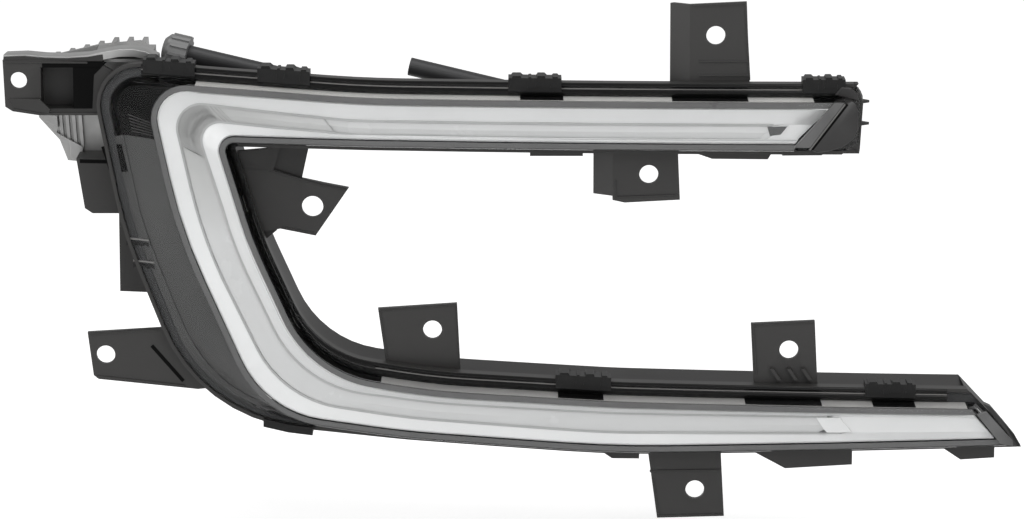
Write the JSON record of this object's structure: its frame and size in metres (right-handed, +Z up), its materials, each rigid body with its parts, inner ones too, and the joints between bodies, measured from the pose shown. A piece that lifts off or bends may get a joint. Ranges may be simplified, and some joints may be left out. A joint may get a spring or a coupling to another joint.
{
  "type": "daytime running light",
  "caption": "Bracket-shaped daytime running light with a bright band, a light guide and eight fixing lugs, swept back at its closed end.",
  "frame": {"origin": "centre of the hole of the lug on the top edge of the lower arm, on the lug's front face", "axes": "-Y to the front of the car, +X to the open ends of the arms, +Z up"},
  "size_m": [0.3879, 0.1157, 0.1991],
  "materials": {
    "housing_plastic": "matte, fine grain",
    "clear_cover": "clear, polished",
    "seal_rubber": "matte",
    "reflector_white": "satin, bright",
    "guide_clear": "clear, fine optic ribs",
    "carrier_white": "matte",
    "trim_grey": "satin",
    "screw_steel": "zinc plated",
    "clip_black": "satin",
    "board": "solder mask",
    "board_green": "solder mask",
    "lamp_chip": "resin",
    "chip_black": "moulded",
    "pad": "soft",
    "cast_aluminium": "die cast",
    "pin_brass": "tinned",
    "hose_rubber": "matte",
    "cap_grey": "matte"
  },
  "bodies": {
    "root": {"housing": "housing_plastic", "outer_lens": "clear_cover", "lens_seal": "seal_rubber", "reflector": "reflector_white", "light_guide": "guide_clear", "guide_carrier": "carrier_white", "side_trim": "trim_grey", "carrier_screws": "screw_steel", "lens_clips": "clip_black", "led_board": "board", "leds": "lamp_chip", "led_board_screws": "screw_steel", "thermal_pad": "pad", "heat_sink": "cast_aluminium", "heat_sink_screws": "screw_steel", "driver_board": "board_green", "driver_parts": "chip_black", "driver_board_screws": "screw_steel", "service_cover": "housing_plastic", "service_cover_seal": "seal_rubber", "service_cover_screws": "screw_steel", "connector_socket": "clip_black", "connector_pins": "pin_brass", "vent_elbow_left": "hose_rubber", "vent_cap": "cap_grey", "vent_elbow_middle": "hose_rubber"}
  },
  "joints": []
}
